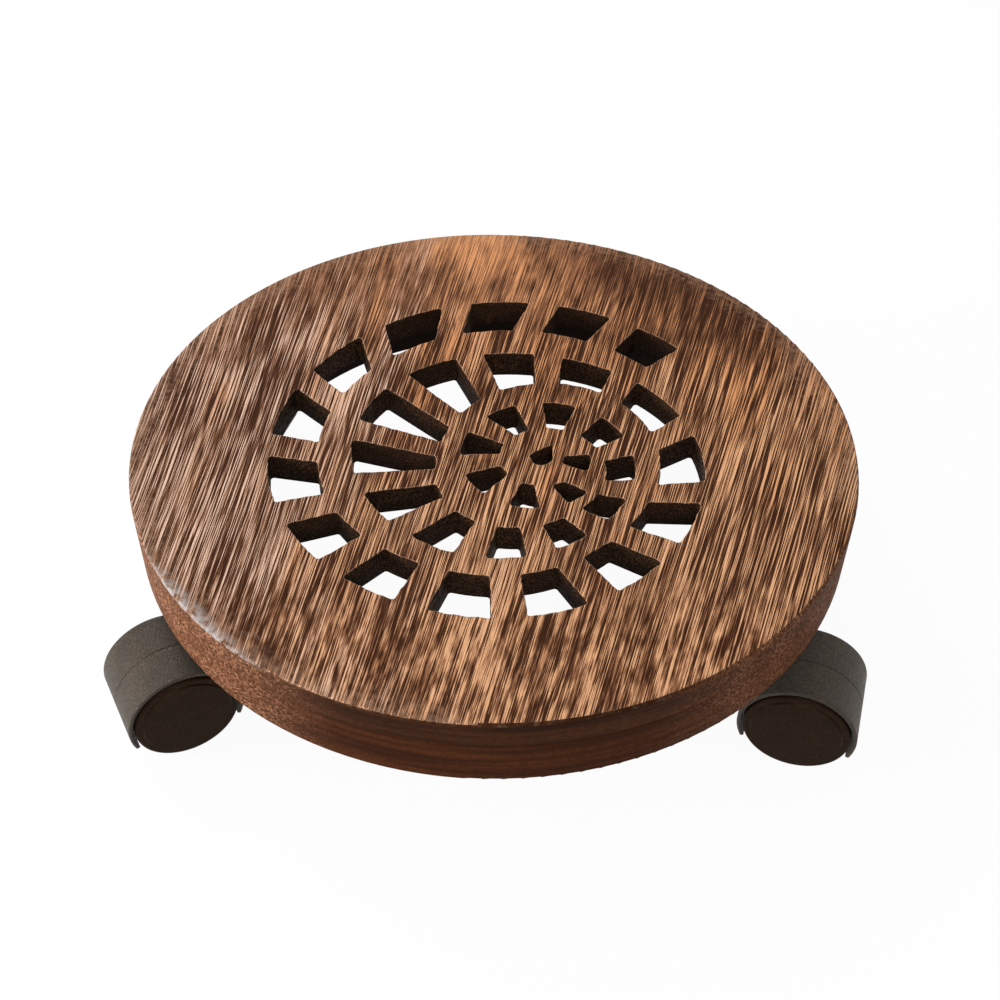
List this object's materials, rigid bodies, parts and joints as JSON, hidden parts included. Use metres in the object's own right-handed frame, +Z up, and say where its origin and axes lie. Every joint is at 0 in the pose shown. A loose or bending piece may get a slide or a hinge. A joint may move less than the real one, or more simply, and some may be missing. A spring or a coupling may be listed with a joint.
{
  "type": "plant pot caddy",
  "caption": "Round wooden plant pot caddy with a spiral fretwork top on hooded twin-wheel swivel casters.",
  "frame": {"origin": "on the floor, straight below the middle of the board", "axes": "+Z up out of the board's top face, +X to the right seen from the front, +Y to the back"},
  "size_m": [0.2944, 0.284, 0.0805],
  "materials": {
    "dark_wood": "brushed, charred and oiled open-grain wood",
    "black_plastic": "fine satin moulded texture",
    "wheel_nylon": "smooth satin moulded nylon",
    "nylon_washer": "natural nylon",
    "steel": "bright zinc-plated"
  },
  "bodies": {
    "board": {"fretwork_board": "dark_wood", "lower_ring": "dark_wood", "front_left_threaded_insert": "steel", "front_left_stem": "steel", "front_left_grip_ring": "steel", "front_right_threaded_insert": "steel", "front_right_stem": "steel", "front_right_grip_ring": "steel", "back_right_threaded_insert": "steel", "back_right_stem": "steel", "back_right_grip_ring": "steel", "back_left_threaded_insert": "steel", "back_left_stem": "steel", "back_left_grip_ring": "steel"},
    "front_left_caster": {"front_left_hood": "black_plastic", "front_left_swivel_washer": "nylon_washer", "front_left_axle": "steel"},
    "front_left_left_wheel": {"front_left_left_wheel": "wheel_nylon"},
    "front_left_right_wheel": {"front_left_right_wheel": "wheel_nylon"},
    "front_right_caster": {"front_right_hood": "black_plastic", "front_right_swivel_washer": "nylon_washer", "front_right_axle": "steel"},
    "front_right_left_wheel": {"front_right_left_wheel": "wheel_nylon"},
    "front_right_right_wheel": {"front_right_right_wheel": "wheel_nylon"},
    "back_right_caster": {"back_right_hood": "black_plastic", "back_right_swivel_washer": "nylon_washer", "back_right_axle": "steel"},
    "back_right_left_wheel": {"back_right_left_wheel": "wheel_nylon"},
    "back_right_right_wheel": {"back_right_right_wheel": "wheel_nylon"},
    "back_left_caster": {"back_left_hood": "black_plastic", "back_left_swivel_washer": "nylon_washer", "back_left_axle": "steel"},
    "back_left_left_wheel": {"back_left_left_wheel": "wheel_nylon"},
    "back_left_right_wheel": {"back_left_right_wheel": "wheel_nylon"}
  },
  "joints": [
    {"name": "front_left_swivel", "type": "hinge", "parent": "board", "child": "front_left_caster", "pos_m": [-0.10499, -0.07461, 0.045], "axis": [0, 0, 1], "continuous": true},
    {"name": "front_left_left_wheel_spin", "type": "hinge", "parent": "front_left_caster", "child": "front_left_left_wheel", "pos_m": [-0.11974, -0.08306, 0.02], "axis": [0.497, -0.8678, 0], "continuous": true},
    {"name": "front_left_right_wheel_spin", "type": "hinge", "parent": "front_left_caster", "child": "front_left_right_wheel", "pos_m": [-0.11974, -0.08306, 0.02], "axis": [0.497, -0.8678, 0], "continuous": true},
    {"name": "front_right_swivel", "type": "hinge", "parent": "board", "child": "front_right_caster", "pos_m": [0.10499, -0.07461, 0.045], "axis": [0, 0, 1], "continuous": true},
    {"name": "front_right_left_wheel_spin", "type": "hinge", "parent": "front_right_caster", "child": "front_right_left_wheel", "pos_m": [0.12141, -0.07901, 0.02], "axis": [0.2588, 0.9659, 0], "continuous": true},
    {"name": "front_right_right_wheel_spin", "type": "hinge", "parent": "front_right_caster", "child": "front_right_right_wheel", "pos_m": [0.12141, -0.07901, 0.02], "axis": [0.2588, 0.9659, 0], "continuous": true},
    {"name": "back_right_swivel", "type": "hinge", "parent": "board", "child": "back_right_caster", "pos_m": [0.10499, 0.07461, 0.045], "axis": [0, 0, 1], "continuous": true},
    {"name": "back_right_left_wheel_spin", "type": "hinge", "parent": "back_right_caster", "child": "back_right_left_wheel", "pos_m": [0.11974, 0.08306, 0.02], "axis": [-0.497, 0.8678, 0], "continuous": true},
    {"name": "back_right_right_wheel_spin", "type": "hinge", "parent": "back_right_caster", "child": "back_right_right_wheel", "pos_m": [0.11974, 0.08306, 0.02], "axis": [-0.497, 0.8678, 0], "continuous": true},
    {"name": "back_left_swivel", "type": "hinge", "parent": "board", "child": "back_left_caster", "pos_m": [-0.10499, 0.07461, 0.045], "axis": [0, 0, 1], "continuous": true},
    {"name": "back_left_left_wheel_spin", "type": "hinge", "parent": "back_left_caster", "child": "back_left_left_wheel", "pos_m": [-0.12141, 0.07901, 0.02], "axis": [-0.2588, -0.9659, 0], "continuous": true},
    {"name": "back_left_right_wheel_spin", "type": "hinge", "parent": "back_left_caster", "child": "back_left_right_wheel", "pos_m": [-0.12141, 0.07901, 0.02], "axis": [-0.2588, -0.9659, 0], "continuous": true}
  ]
}
